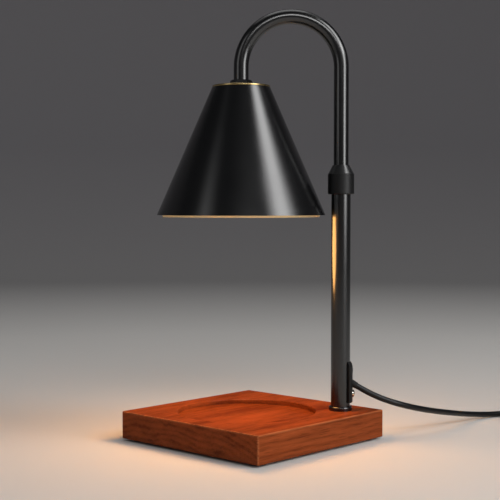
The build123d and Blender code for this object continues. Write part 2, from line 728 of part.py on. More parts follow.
def make_cord_tie():
    """A flat strap closed round the coil's bundle of turns."""
    inside_width = COIL_OUTER - COIL_INNER + 0.1
    middle = (COIL_OUTER + COIL_INNER) / 2
    centre_z = COIL_LIFT + COIL_HEIGHT / 2
    inside = Pos(middle, centre_z) * RectangleRounded(inside_width, COIL_HEIGHT + 0.1, 2.3)
    outside_low, outside_high = 0.0, COIL_LIFT + COIL_HEIGHT + TIE_THICK
    outside = Pos(middle, (outside_low + outside_high) / 2)
    outside *= RectangleRounded(inside_width + 2 * TIE_THICK, outside_high - outside_low, 2.9)
    strap = revolve(Plane.XZ * (outside - inside), Axis.Z, TIE_ARC)
    return Pos(COIL_X, COIL_Y, 0) * Rot(0, 0, TIE_ANGLE - TIE_ARC / 2) * strap


PLUG_PLACE = Pos(*TAIL_ROUTE[-1]) * Rot(0, 0, PLUG_HEADING)


def make_plug_boot():
    boot = Pos(PLUG_BOOT_LENGTH / 2, 0, 0) * Rot(0, 90, 0)
    boot *= Cone(2.9, 4.3, PLUG_BOOT_LENGTH)
    for i in range(5):
        place = Pos(4.0 + 3.2 * i, 0, 0) * Rot(0, 90, 0)
        boot -= place * (Cylinder(8, 0.9) - Cylinder(2.6 + 0.2 * i, 0.9))
    return PLUG_PLACE * boot


def make_plug_body():
    body = Box(PLUG_BODY_LENGTH, PLUG_WIDTH, PLUG_THICK)
    body = fillet(body.edges().filter_by(Axis.X), PLUG_ROUND)
    body = fillet(body.faces().sort_by(Axis.X)[0].edges(), PLUG_ROUND - 0.6)
    body = fillet(body.faces().sort_by(Axis.X)[-1].edges(), 0.8)
    for i in range(GRIP_GROOVES):
        x = -PLUG_BODY_LENGTH / 2 + 7.0 + 3.6 * i
        for side in (-1, 1):
            body -= Pos(x, side * PLUG_WIDTH / 2, 0) * Box(1.4, 1.6, PLUG_THICK - 5)
    return PLUG_PLACE * Pos(PLUG_BOOT_LENGTH + PLUG_BODY_LENGTH / 2, 0, 0) * body


def make_plug_blades():
    start = PLUG_BOOT_LENGTH + PLUG_BODY_LENGTH
    blades = []
    for side in (-1, 1):
        blade = Box(BLADE_LENGTH, BLADE_THICK, BLADE_WIDTH)
        blade = chamfer(blade.faces().sort_by(Axis.X)[-1].edges().filter_by(Axis.Z), 0.5)
        blade -= Pos(BLADE_LENGTH / 2 - 4, 0, 0) * Rot(90, 0, 0) * Cylinder(BLADE_HOLE_RADIUS, 4)
        place = Pos(start + BLADE_LENGTH / 2, side * BLADE_SPACING / 2, 0)
        blades.append(PLUG_PLACE * place * blade)
    return Compound(children=blades)


save(make_wooden_base(), "wooden_base")
for number in range(4):
    save(make_foot(90 * number), f"foot_pad_{number + 1}")

save(make_mast_tube(), "mast_tube")
save(make_mast_foot_ring(), "mast_foot_ring")
save(make_mast_plug(), "mast_plug")
save(make_mast_bolt(), "mast_bolt")
save(make_mast_washer(), "mast_washer")

save(make_switch_housing(), "switch_housing")
save(make_housing_screw(), "housing_screw")
save(make_push_button(), "push_button")
save(make_button_spring(), "button_spring")
save(make_switch_body(), "switch_body")
save(make_cord_strain_relief(), "cord_strain_relief")

save(make_mast_wire(), "mast_wire")
save(make_switch_leads(), "switch_leads")
save(make_splice_sleeve(), "splice_sleeve")
save(make_slack_wire(), "slack_wire")
save(make_arm_wire(), "arm_wire")

save(make_clamp_collar(), "clamp_collar")
save(make_collet_bush(), "collet_bush")
save(make_arm_tube(), "arm_tube")
save(make_arm_stop_ring(), "arm_stop_ring")

save(make_shade(), "shade")
save(make_shade_liner(), "shade_liner")
save(make_shade_cap(), "shade_cap")
save(make_neck_nut(), "neck_nut")
save(make_threaded_nipple(), "threaded_nipple")
save(make_lock_washer(), "lock_washer")
save(make_lock_nut(), "lock_nut")
save(make_holder_bracket(), "holder_bracket")
save(make_lamp_holder(), "lamp_holder")
save(make_holder_screws(), "holder_screws")
save(make_bulb_body(), "bulb_body")
save(make_bulb_lens(), "bulb_lens")
save(make_bulb_capsule(), "bulb_capsule")
save(make_bulb_pins(), "bulb_pins")

save(cord_tube(LEAD_ROUTE, CORD_RADIUS, "supply_cord"), "supply_cord")
save(make_cord_coil(), "cord_coil")
save(make_cord_tie(), "cord_tie")
save(cord_tube(TAIL_ROUTE, CORD_RADIUS, "plug_tail"), "plug_tail")
save(make_plug_boot(), "plug_boot")
save(make_plug_body(), "plug_body")
save(make_plug_blades(), "plug_blades")
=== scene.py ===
"""Finishes, supply cord and studio for a candle warmer lamp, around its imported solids. Metres, +Z up."""

import math

import bpy
import numpy as np
from mathutils import Matrix, Vector


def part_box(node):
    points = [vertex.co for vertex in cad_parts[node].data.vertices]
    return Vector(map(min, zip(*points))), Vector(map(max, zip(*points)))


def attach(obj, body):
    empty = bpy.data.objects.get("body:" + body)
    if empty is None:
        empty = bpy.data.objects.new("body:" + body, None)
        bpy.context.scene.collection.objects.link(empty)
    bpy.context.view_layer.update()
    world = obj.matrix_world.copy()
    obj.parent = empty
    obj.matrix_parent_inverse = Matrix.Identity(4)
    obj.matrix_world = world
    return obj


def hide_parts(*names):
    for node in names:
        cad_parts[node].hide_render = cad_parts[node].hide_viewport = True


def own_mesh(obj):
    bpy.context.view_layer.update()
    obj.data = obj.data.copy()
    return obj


bl_info = {
    "name": "Candle Warmer Lamp",
    "version": (1, 0, 0),
    "blender": (4, 5, 0),
    "location": "View3D > Sidebar > Lamp",
    "description": "Gives the lamp's solids their finishes, lays its cord and lights it in a studio",
    "category": "Object",
}

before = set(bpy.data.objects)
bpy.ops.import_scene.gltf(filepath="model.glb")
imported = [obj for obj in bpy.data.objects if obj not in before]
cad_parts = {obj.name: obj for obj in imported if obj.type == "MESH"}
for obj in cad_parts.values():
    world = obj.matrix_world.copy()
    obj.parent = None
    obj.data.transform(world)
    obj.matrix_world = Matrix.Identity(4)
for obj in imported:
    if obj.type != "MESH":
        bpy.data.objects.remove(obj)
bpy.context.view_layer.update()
MM = 0.001


# ---- sizes that the solids give --------------------------------------------------------

LENS_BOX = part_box("bulb_lens")
LENS_LOW, LENS_HIGH = LENS_BOX[0].z, LENS_BOX[1].z
LENS_RADIUS = (LENS_BOX[1].x - LENS_BOX[0].x) / 2
HEAD_X = (LENS_BOX[1].x + LENS_BOX[0].x) / 2
NECK_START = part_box("bulb_capsule")[1].z
BASE_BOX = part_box("wooden_base")
BASE_TOP = BASE_BOX[1].z
BASE_CORNER_ROUND = 1.6 * MM  # as on the solid's upright edges
# the block stands on its diagonal, and rounding takes (sqrt(2) - 1) radii off each corner
BASE_HALF = (BASE_BOX[1].x + (math.sqrt(2) - 1) * BASE_CORNER_ROUND) / math.sqrt(2)
GRAIN_DIRECTION = (math.sqrt(0.5), math.sqrt(0.5), 0)  # along one side of the block
COLLAR_LOW, COLLAR_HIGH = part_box("clamp_collar")
CYLINDER_SHARE = 0.71  # of the collar's height, under its cone
COLLAR_SHOULDER = COLLAR_LOW.z + CYLINDER_SHARE * (COLLAR_HIGH.z - COLLAR_LOW.z)
COIL_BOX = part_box("cord_coil")
COIL_CENTRE = (COIL_BOX[0] + COIL_BOX[1]) / 2


# ---- the cord's route ----------------------------------------------------------------

LAYER_STEP = 1.01  # the coil's upper layer is this many cord diameters over its lower one

# from the strain relief's tip down to the table and up to the coil
LEAD_ROUTE = [
    (0.0839, 0.0, 0.0437),
    (0.0925, 0.0, 0.0386),
    (0.1050, 0.0004, 0.0328),
    (0.1185, 0.0022, 0.0282),
    (0.1345, 0.0115, 0.0231),
    (0.1525, 0.0290, 0.0175),
    (0.1730, 0.0520, 0.0116),
    (0.1960, 0.0785, 0.0055),
    (0.2195, 0.0952, 0.0025),
    (0.2430, 0.1047, 0.0026),
    (0.2680, 0.1083, 0.0030),
]
# and from the coil to the plug
TAIL_ROUTE = [
    (0.3043, 0.0760, 0.0078),
    (0.3033, 0.0560, 0.0064),
    (0.2990, 0.0385, 0.0032),
    (0.2915, 0.0215, 0.0026),
    (0.2820, 0.0065, 0.0044),
    (0.2725, -0.0060, 0.0072),
]


# ---- colours and nodes ---------------------------------------------------------------

WAVE_STEP = 0.314  # the crests of a wave texture at scale 1 are this far apart


def linear(hex_colour):
    """An sRGB hex value as linear RGB: ((c + 0.055) / 1.055) ^ 2.4, or c / 12.92 where c is dark."""
    values = [int(hex_colour[i : i + 2], 16) / 255 for i in (1, 3, 5)]
    return [((c + 0.055) / 1.055) ** 2.4 if c > 0.04045 else c / 12.92 for c in values]


def rgba(colour):
    """A colour of three numbers, or a hex value, as a shader takes it."""
    return (*(linear(colour) if isinstance(colour, str) else colour), 1.0)


def add(tree, kind, inputs=None, stops=(), **settings):
    """Adds a shader node. An input that is a node or a socket is linked, and any other is set."""
    made = tree.nodes.new("ShaderNode" + kind)
    for name, value in settings.items():
        setattr(made, name, value)
    for name, value in (inputs or {}).items():
        value = value.outputs[0] if isinstance(value, bpy.types.ShaderNode) else value
        if isinstance(value, bpy.types.NodeSocket):
            tree.links.new(value, made.inputs[name])
        else:
            made.inputs[name].default_value = value
    for i, (place, colour) in enumerate(stops):
        stop = made.color_ramp.elements[i] if i < 2 else made.color_ramp.elements.new(place)
        stop.position, stop.color = place, rgba(colour)
    return made


def new_finish(name):
    """An empty node material, its tree, and the Object coordinates that its patterns read."""
    made = bpy.data.materials.new(name)
    made.use_nodes = True
    made.node_tree.nodes.clear()
    place = add(made.node_tree, "TexCoord").outputs["Object"]
    return made, made.node_tree, place


def dress(made, *pieces):
    """Puts a material on CAD nodes, given by name, or on new pieces."""
    for piece in pieces:
        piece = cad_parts[piece] if isinstance(piece, str) else piece
        if not piece.material_slots:
            piece.data.materials.append(made)
        for slot in piece.material_slots:
            slot.material = made


# ---- finishes ------------------------------------------------------------------------


def satin_powder_coat(looks, name="satin_black_powder_coat", blasted_below=None):
    """Steel tube and sheet under a black polyester powder coat, sprayed and baked: an even, dark
    satin with a faint orange peel, and a gloss that drifts a little over a few centimetres.
    Below the height blasted_below it is blasted to a duller skin, which gives fingers a grip."""
    made, tree, place = new_finish(name)
    peel = add(tree, "TexNoise", {"Vector": place, "Scale": 1 / (1.6 * MM), "Detail": 1.0})
    flow = add(tree, "TexNoise", {"Vector": place, "Scale": 1 / (30 * MM)})
    low, high = looks.paint_roughness - 0.03, looks.paint_roughness + 0.03
    shader = {
        "Base Color": rgba(looks.paint),
        "Roughness": add(tree, "MapRange", {"Value": flow, "To Min": low, "To Max": high}),
        # the sprayed skin mirrors more than a resin's usual 0.5
        "Specular IOR Level": 0.9,
        "Normal": add(tree, "Bump", {"Height": peel, "Distance": 0.008 * MM}),
    }
    if blasted_below:
        height = add(tree, "SeparateXYZ", {"Vector": place}).outputs["Z"]
        edge = {"Value": height, "From Min": blasted_below - 0.2 * MM, "From Max": blasted_below + 0.2 * MM}
        skin = add(tree, "TexNoise", {"Vector": place, "Scale": 1 / (0.4 * MM)})
        shader["Roughness"] = add(tree, "MapRange", {"Value": skin, "To Min": 0.40, "To Max": 0.50})
        shader["Specular IOR Level"] = 0.35
        # the smooth part above keeps its gloss, as a coat over the dull skin
        shader["Coat Weight"] = add(tree, "MapRange", edge)
        shader["Coat Roughness"] = looks.paint_roughness
    add(tree, "OutputMaterial", {"Surface": add(tree, "BsdfPrincipled", shader)})
    return made


def walnut_figure(tree, board, looks):
    """The wood's colour, and its streaks. Growth rings lie about the line y = z = 0 of the board's
    coordinates and wander as the trunk did, slowly along the grain. Pigment lies in irregular
    streaks along the grain, across several rings."""
    drawn = add(tree, "Mapping", {"Vector": board, "Scale": (0.10, 1, 1)})
    wander = add(tree, "TexNoise", {"Vector": drawn, "Scale": 1 / (28 * MM), "Detail": 3.0})
    halves = {0: wander.outputs["Color"], 1: (0.5, 0.5, 0.5)}
    centred = add(tree, "VectorMath", halves, operation="SUBTRACT")
    shift = add(tree, "VectorMath", {0: centred, "Scale": 10 * MM}, operation="SCALE")
    warped = add(tree, "VectorMath", {0: board, 1: shift}, operation="ADD")
    wave = {"Vector": warped, "Scale": WAVE_STEP / looks.ring_spacing, "Distortion": 1.2, "Detail": 3.0}
    rings = add(tree, "TexWave", wave, wave_type="RINGS", rings_direction="X")
    pigment = add(tree, "Mapping", {"Vector": warped, "Scale": (0.07, 0.4, 1)})
    clouds = {"Vector": pigment, "Scale": 1 / (7 * MM), "Detail": 5.0, "Roughness": 0.62}
    streaks = add(tree, "TexNoise", clouds)
    figure = add(tree, "Mix", {"Factor": 0.13, "A": streaks, "B": rings.outputs["Fac"]})
    stops = [(0.28, looks.wood_dark), (0.48, looks.wood_middle), (0.70, looks.wood_light)]
    return add(tree, "ValToRGB", {"Fac": figure}, stops), streaks


def edge_wear_and_highlight(tree, square, fibres):
    """How much paler the wood is painted: within about a millimetre of an upper or an upright edge
    of the block, and unevenly from fibre to fibre. The pale line is partly rubbed wear and partly a
    painted highlight, where light would catch the rounded edges."""
    spot = add(tree, "SeparateXYZ", {"Vector": square}).outputs
    across = [add(tree, "Math", {0: spot[axis]}, operation="ABSOLUTE") for axis in ("X", "Y")]
    outer = add(tree, "Math", {0: across[0], 1: across[1]}, operation="MAXIMUM")
    inner = add(tree, "Math", {0: across[0], 1: across[1]}, operation="MINIMUM")
    near = []
    for value, limit in ((outer, BASE_HALF), (inner, BASE_HALF), (spot["Z"], BASE_TOP)):
        band = {"Value": value, "From Min": limit - 1.5 * MM, "From Max": limit - 0.3 * MM}
        near.append(add(tree, "MapRange", band))
    # near one side, and near another side or the top as well
    edge = add(tree, "Math", {0: near[1], 1: near[2]}, operation="MAXIMUM")
    edge = add(tree, "Math", {0: edge, 1: near[0]}, operation="MULTIPLY")
    uneven = {"Value": fibres, "From Min": 0.35, "From Max": 0.6, "To Min": 0.2, "To Max": 0.6}
    return add(tree, "Math", {0: edge, 1: add(tree, "MapRange", uneven)}, operation="MULTIPLY")


def varnished_walnut(looks):
    """Walnut block, flat sawn, sanded and satin varnished. The growth rings lie about a pith that
    runs along the grain, far below the block, so the sides show them as level streaks, the ends
    as flat arcs, and the top as a few broad figures. The edges are painted paler, as rubbed wear
    and as a painted highlight where light would catch them."""
    made, tree, place = new_finish("satin_varnished_walnut")
    # the block stands on its diagonal, so this turns it square: x is along the grain here
    square = add(tree, "Mapping", {"Vector": place, "Rotation": (0, 0, -math.pi / 4)})
    # the pith lies 320 mm under the table and 30 mm beside the block's middle
    board = add(tree, "Mapping", {"Vector": square, "Location": (0, -30 * MM, 320 * MM)})
    coloured, streaks = walnut_figure(tree, board, looks)
    # single fibres are too fine to show, so they are drawn about 0.8 mm wide
    along = add(tree, "Mapping", {"Vector": board, "Scale": (0.05, 0.5, 1)})
    fibres = add(tree, "TexNoise", {"Vector": along, "Scale": 1 / (0.8 * MM), "Detail": 3.0})
    # pores are vessels cut open: short dark lines along the grain, and specks on the end grain
    pores = add(tree, "TexNoise", {"Vector": along, "Scale": 1 / (0.55 * MM), "Detail": 0.0})
    open_pores = {"Value": pores, "From Min": 0.60, "From Max": 0.70, "To Min": 1.0, "To Max": 0.0}
    closed = add(tree, "MapRange", open_pores)
    # end grain drinks more varnish and is darker: the more a face looks along the grain
    facing = add(tree, "NewGeometry").outputs["Normal"]
    end_on = add(tree, "VectorMath", {0: facing, 1: GRAIN_DIRECTION}, operation="DOT_PRODUCT")
    end_on = add(tree, "Math", {0: end_on.outputs["Value"]}, operation="ABSOLUTE")
    shades = (
        {"Value": fibres, "From Min": 0.3, "From Max": 0.7, "To Min": 0.90, "To Max": 1.08},
        {"Value": closed, "To Min": 0.78, "To Max": 1.0},
        {"Value": end_on, "To Min": 1.0, "To Max": 0.86},
    )
    for shade in shades:
        tint = add(tree, "MapRange", shade)
        coloured = add(tree, "VectorMath", {0: coloured, "Scale": tint}, operation="SCALE")
    # paler along the upper and upright edges: rubbed wear, and a painted highlight where light would catch
    # the rounded edges
    worn_and_lit = {"Factor": edge_wear_and_highlight(tree, square, fibres), "A": coloured, "B": rgba(looks.wood_edge_and_highlight)}
    relief = add(tree, "Math", {0: fibres, 1: closed}, operation="ADD")
    # the varnish fills the wood's skin, so only the varnish itself shines
    shader = {
        "Base Color": add(tree, "Mix", worn_and_lit, data_type="RGBA").outputs[2],
        "Roughness": add(tree, "MapRange", {"Value": streaks, "To Min": 0.42, "To Max": 0.56}),
        "Specular IOR Level": 0.0,
        "Normal": add(tree, "Bump", {"Height": relief, "Distance": 0.02 * MM}),
        "Coat Weight": 0.15,
        "Coat Roughness": 0.22,
    }
    add(tree, "OutputMaterial", {"Surface": add(tree, "BsdfPrincipled", shader)})
    return made


def turned_metal(name, colour, roughness, centre, spacing, depth):
    """Sheet or bar turned on a lathe and lacquered: a metal with faint tool rings about the
    vertical line at x = centre, and a haze where fingers and lacquer dull it."""
    made, tree, place = new_finish(name)
    centred = add(tree, "Mapping", {"Vector": place, "Location": (-centre, 0, 0)})
    wave = {"Vector": centred, "Scale": WAVE_STEP / spacing, "Distortion": 0.6, "Detail": 2.0}
    rings = add(tree, "TexWave", wave, wave_type="RINGS", rings_direction="Z")
    haze = add(tree, "TexNoise", {"Vector": place, "Scale": 1 / (7 * MM)})
    low, high = roughness - 0.05, roughness + 0.07
    shader = {
        "Base Color": rgba(colour),
        "Metallic": 1.0,
        "Roughness": add(tree, "MapRange", {"Value": haze, "To Min": low, "To Max": high}),
        "Normal": add(tree, "Bump", {"Height": rings.outputs["Fac"], "Distance": depth}),
    }
    add(tree, "OutputMaterial", {"Surface": add(tree, "BsdfPrincipled", shader)})
    return made


def fitting_metal(name, colour, roughness, mottle):
    """Small pressed, drawn and turned fittings, bare or thinly plated: a metal, mottled by the
    plating bath or by handling in patches about mottle metres across."""
    made, tree, place = new_finish(name)
    spots = add(tree, "TexNoise", {"Vector": place, "Scale": 1 / mottle, "Detail": 3.0})
    tint = add(tree, "MapRange", {"Value": spots, "To Min": 0.82, "To Max": 1.1})
    scratches = add(tree, "TexNoise", {"Vector": place, "Scale": 1 / (0.5 * MM)})
    low, high = roughness - 0.06, roughness + 0.08
    shader = {
        "Base Color": add(tree, "VectorMath", {0: linear(colour), "Scale": tint}, operation="SCALE"),
        "Metallic": 1.0,
        "Roughness": add(tree, "MapRange", {"Value": spots, "To Min": low, "To Max": high}),
        "Normal": add(tree, "Bump", {"Height": scratches, "Distance": 0.004 * MM}),
    }
    add(tree, "OutputMaterial", {"Surface": add(tree, "BsdfPrincipled", shader)})
    return made


def moulded(name, colour, roughness, texture, depth):
    """Plastic or rubber from an eroded mould: a dull, even skin with fine pits texture metres
    wide, glossier where the melt ran thin."""
    made, tree, place = new_finish(name)
    pits = add(tree, "TexNoise", {"Vector": place, "Scale": 1 / texture})
    flow = add(tree, "TexNoise", {"Vector": place, "Scale": 1 / (14 * MM)})
    low, high = roughness - 0.05, roughness + 0.05
    shader = {
        "Base Color": rgba(colour),
        "Roughness": add(tree, "MapRange", {"Value": flow, "To Min": low, "To Max": high}),
        # the pits scatter part of the gloss, so less of it is left than the usual 0.5
        "Specular IOR Level": 0.3,
        "Normal": add(tree, "Bump", {"Height": pits, "Distance": depth}),
    }
    add(tree, "OutputMaterial", {"Surface": add(tree, "BsdfPrincipled", shader)})
    return made


def fired_steatite():
    """Steatite ceramic, pressed and fired without a glaze: off-white and dry, with grey specks."""
    made, tree, place = new_finish("fired_steatite")
    specks = add(tree, "TexNoise", {"Vector": place, "Scale": 1 / (0.6 * MM), "Detail": 1.0})
    shader = {
        "Base Color": add(tree, "ValToRGB", {"Fac": specks}, [(0.30, "#9c978a"), (0.42, "#e4dfd2")]),
        "Roughness": 0.6,
        "Normal": add(tree, "Bump", {"Height": specks, "Distance": 0.01 * MM}),
    }
    add(tree, "OutputMaterial", {"Surface": add(tree, "BsdfPrincipled", shader)})
    return made


def silvered_reflector():
    """Pressed glass bowl, silvered inside, on a ceramic neck: a cold, faceted mirror below and
    matt white above."""
    made, tree, place = new_finish("silvered_reflector_glass")
    height = add(tree, "SeparateXYZ", {"Vector": place}).outputs["Z"]
    edge = {"Value": height, "From Min": NECK_START - 0.4 * MM, "From Max": NECK_START + 0.4 * MM}
    neck = add(tree, "MapRange", edge)
    # the bowl is pressed in facets about 4 mm wide
    facets = add(tree, "TexVoronoi", {"Vector": place, "Scale": 1 / (4 * MM)})
    shader = {
        "Base Color": add(tree, "ValToRGB", {"Fac": neck}, [(0.0, "#c9ccd2"), (1.0, "#ddd9cf")]),
        "Metallic": add(tree, "Math", {0: 1.0, 1: neck}, operation="SUBTRACT"),
        "Roughness": add(tree, "MapRange", {"Value": neck, "To Min": 0.12, "To Max": 0.5}),
        "Normal": add(tree, "Bump", {"Height": facets, "Distance": 0.08 * MM}),
    }
    add(tree, "OutputMaterial", {"Surface": add(tree, "BsdfPrincipled", shader)})
    return made


def lit_frosted_glass(looks):
    """Frosted glass over a lit halogen capsule: nearly white at the middle, and warmer and dimmer
    towards the rim."""
    made, tree, place = new_finish("lit_frosted_glass")
    centred = add(tree, "Mapping", {"Vector": place, "Location": (-HEAD_X, 0, -LENS_LOW)})
    away = add(tree, "VectorMath", {0: centred}, operation="LENGTH").outputs["Value"]
    share = add(tree, "MapRange", {"Value": away, "From Max": LENS_RADIUS})
    fall = add(tree, "MapRange", {"Value": share, "To Min": 1.0, "To Max": 0.35})
    shader = {
        "Base Color": rgba("#f4e3c4"),
        "Roughness": 0.35,
        "Emission Color": add(tree, "ValToRGB", {"Fac": share}, [(0.1, "#fff0d2"), (0.9, looks.glow)]),
        "Emission Strength": add(tree, "Math", {0: fall, 1: looks.glow_strength}, operation="MULTIPLY"),
    }
    add(tree, "OutputMaterial", {"Surface": add(tree, "BsdfPrincipled", shader)})
    return made


def woven_tape():
    """Nylon hook and loop tape, woven in ribs about 0.7 mm apart: a dull black pile."""
    made, tree, _ = new_finish("woven_nylon_tape")
    cloth = add(tree, "UVMap")
    ribs = {"Vector": cloth, "Scale": WAVE_STEP / (0.7 * MM), "Distortion": 0.8}
    across = add(tree, "TexWave", ribs, bands_direction="X").outputs["Fac"]
    down = add(tree, "TexWave", ribs, bands_direction="Y").outputs["Fac"]
    weave = add(tree, "Math", {0: across, 1: down}, operation="MULTIPLY")
    shader = {
        # darker where the weave lies low and lighter on the ribs' crossings: painted shade between the ribs
        "Base Color": add(tree, "ValToRGB", {"Fac": weave}, [(0.0, "#0c0c0d"), (1.0, "#2a2a2c")]),
        "Roughness": 0.85,
        "Normal": add(tree, "Bump", {"Height": weave, "Distance": 0.12 * MM}),
        "Sheen Weight": 0.3,
        "Sheen Roughness": 0.5,
    }
    add(tree, "OutputMaterial", {"Surface": add(tree, "BsdfPrincipled", shader)})
    return made


# ---- settings ------------------------------------------------------------------------


def colour_setting(name, description, hex_colour):
    """A colour that a user can change, with a hex value as its default."""
    return bpy.props.FloatVectorProperty(
        name=name, description=description, default=linear(hex_colour), subtype="COLOR", min=0, max=1
    )


class LampLooks(bpy.types.PropertyGroup):
    """Colours and gloss of the lamp's finishes, and the light of its bulb"""

    paint: colour_setting("Paint", "Powder coat of mast, arm and shade", "#050506")
    paint_roughness: bpy.props.FloatProperty(
        name="Paint roughness", description="How matt the powder coat is", default=0.22, min=0.1, max=0.9
    )
    wood_light: colour_setting("Early wood", "Palest streaks of the walnut", "#8f4522")
    wood_middle: colour_setting("Wood", "Most of the walnut", "#7c3b1c")
    wood_dark: colour_setting("Late wood", "Darkest streaks of the walnut", "#5c2611")
    # paler walnut at the edges: rubbed wear and a painted highlight
    wood_edge_and_highlight: colour_setting("Rubbed edge and painted highlight", "Walnut at the edges, rubbed and with a painted highlight", "#bd7448")
    ring_spacing: bpy.props.FloatProperty(
        name="Ring spacing", description="Distance between growth rings", default=0.0046, unit="LENGTH"
    )
    brass: colour_setting("Brass", "Cap over the shade", "#b39c6c")
    gold: colour_setting("Gold", "Lacquer inside the shade", "#efd9ac")
    glow: colour_setting("Light", "Colour of the lit bulb", "#ffb868")
    glow_strength: bpy.props.FloatProperty(
        name="Glass strength", description="How brightly the bulb's glass shines", default=1.6, min=0
    )
    beam_strength: bpy.props.FloatProperty(
        name="Beam strength",
        description="How brightly the bulb lights what is under it",
        default=16.0,
        min=0,
    )


class LampCord(bpy.types.PropertyGroup):
    """Sizes of the supply cord, its coil and the strap round it"""

    diameter: bpy.props.FloatProperty(
        name="Diameter", description="Outer diameter of the cord", default=0.0048, unit="LENGTH"
    )
    turns: bpy.props.FloatProperty(
        name="Turns", description="Turns in the put-away coil, on two layers", default=6.25
    )
    outer_radius: bpy.props.FloatProperty(
        name="Outer turn", description="Radius of the coil's outermost turn", default=0.0363, unit="LENGTH"
    )
    inner_radius: bpy.props.FloatProperty(
        name="Inner turn", description="Radius of the coil's innermost turn", default=0.0213, unit="LENGTH"
    )
    tie_width: bpy.props.FloatProperty(
        name="Tie width", description="Width of the strap round the coil", default=0.010, unit="LENGTH"
    )


class LampStudio(bpy.types.PropertyGroup):
    """Camera, paper and lights of the studio"""

    camera_place: bpy.props.FloatVectorProperty(
        name="Camera",
        description="Where the camera stands",
        default=(-0.0336, -0.9502, 0.1905),
        unit="LENGTH",
    )
    camera_yaw: bpy.props.FloatProperty(
        name="Yaw", description="Turn to the left", default=math.radians(-1.88), unit="ROTATION"
    )
    camera_pitch: bpy.props.FloatProperty(
        name="Pitch", description="Tilt downwards", default=math.radians(2.20), unit="ROTATION"
    )
    focal_length: bpy.props.FloatProperty(
        name="Focal length", description="On a sensor 36 mm wide, in millimetres", default=85.0
    )
    floor: colour_setting("Floor", "Paper of the floor", "#cdcbc8")
    wall: colour_setting("Backdrop", "Paper of the wall behind, which the floor runs into", "#8b898c")
    key_level: bpy.props.FloatProperty(
        name="Key light", description="Brightness of the high softbox on the right", default=5.9
    )
    side_level: bpy.props.FloatProperty(
        name="Side light", description="Brightness of the low softbox on the right", default=5.9
    )
    front_level: bpy.props.FloatProperty(
        name="Front light", description="Brightness of the low strip over the camera", default=8.0
    )
    fill_level: bpy.props.FloatProperty(
        name="Fill light", description="Brightness of the softbox on the left", default=0.95
    )
    top_level: bpy.props.FloatProperty(
        name="Top light", description="Brightness of the softbox overhead", default=1.2
    )
    air_level: bpy.props.FloatProperty(
        name="Air light", description="Brightness of the faint light from all round", default=0.04
    )


# ---- meshes --------------------------------------------------------------------------


def grid_piece(name, points, poles=False, uv=None):
    """A mesh over a grid of points, rows by columns, with a quad between each four neighbours and
    the last column joined to the first. poles draws the first and the last row to a point."""
    rows, columns = points.shape[:2]
    index = np.arange(rows * columns).reshape(rows, columns)
    if poles:
        index[0], index[-1] = index[0, 0], index[-1, 0]
    used, index = np.unique(index, return_inverse=True)
    index = index.reshape(rows, columns)
    after = np.roll(index, -1, axis=1)
    quads = np.stack([index[:-1], after[:-1], after[1:], index[1:]], axis=-1).reshape(-1, 4)
    faces = [list(dict.fromkeys(quad)) for quad in quads.tolist()]
    made = bpy.data.meshes.new(name)
    made.from_pydata(points.reshape(-1, 3)[used].tolist(), [], faces)
    if uv is not None:
        corners = np.zeros(len(made.loops), np.int32)
        made.loops.foreach_get("vertex_index", corners)
        layer = made.uv_layers.new(name="UVMap")
        layer.data.foreach_set("uv", uv.reshape(-1, 2)[used][corners].astype(np.float32).ravel())
    made.polygons.foreach_set("use_smooth", np.ones(len(made.polygons), bool))
    piece = bpy.data.objects.new(name, made)
    bpy.context.scene.collection.objects.link(piece)
    return piece


def with_ends(rows):
    """The same rows of points, with a row at the middle of the first and one of the last."""
    ends = rows[[0, -1]].mean(axis=1, keepdims=True).repeat(rows.shape[1], axis=1)
    return np.concatenate([ends[:1], rows, ends[1:]])


def wire_points(path, outward, radius, sides=12):
    """A round wire carried along a path: at each point a circle square to the path's direction.
    outward is, for each point, a direction that never lies along the path."""
    ahead = np.gradient(path, axis=0)
    side = np.cross(ahead, outward)
    side /= np.linalg.norm(side, axis=1, keepdims=True)
    up = np.cross(side, ahead)
    up /= np.linalg.norm(up, axis=1, keepdims=True)
    turn = np.linspace(0, math.tau, sides, endpoint=False)[:, None]
    circle = up[:, None] * np.cos(turn) + side[:, None] * np.sin(turn)
    return with_ends(path[:, None] + radius * circle)


def smoothstep(x):
    """0 below 0, 1 above 1, and 3x^2 - 2x^3 between."""
    x = np.clip(x, 0, 1)
    return x * x * (3 - 2 * x)


# ---- operators -----------------------------------------------------------------------


class LAMP_OT_camera(bpy.types.Operator):
    """Sets the camera up in front of the lamp"""

    bl_idname = "lamp.camera"
    bl_label = "Camera"

    def execute(self, context):
        studio = context.scene.lamp_studio
        pitch_turn = Matrix.Rotation(math.pi / 2 - studio.camera_pitch, 4, "X")
        yaw_turn = Matrix.Rotation(studio.camera_yaw, 4, "Z")
        data = bpy.data.cameras.new("camera")
        data.sensor_width = 36.0
        data.lens = studio.focal_length
        data.clip_start, data.clip_end = 0.01, 30.0
        camera = bpy.data.objects.new("camera", data)
        camera.matrix_world = Matrix.Translation(studio.camera_place) @ yaw_turn @ pitch_turn
        context.scene.collection.objects.link(camera)
        context.scene.camera = camera
        return {"FINISHED"}


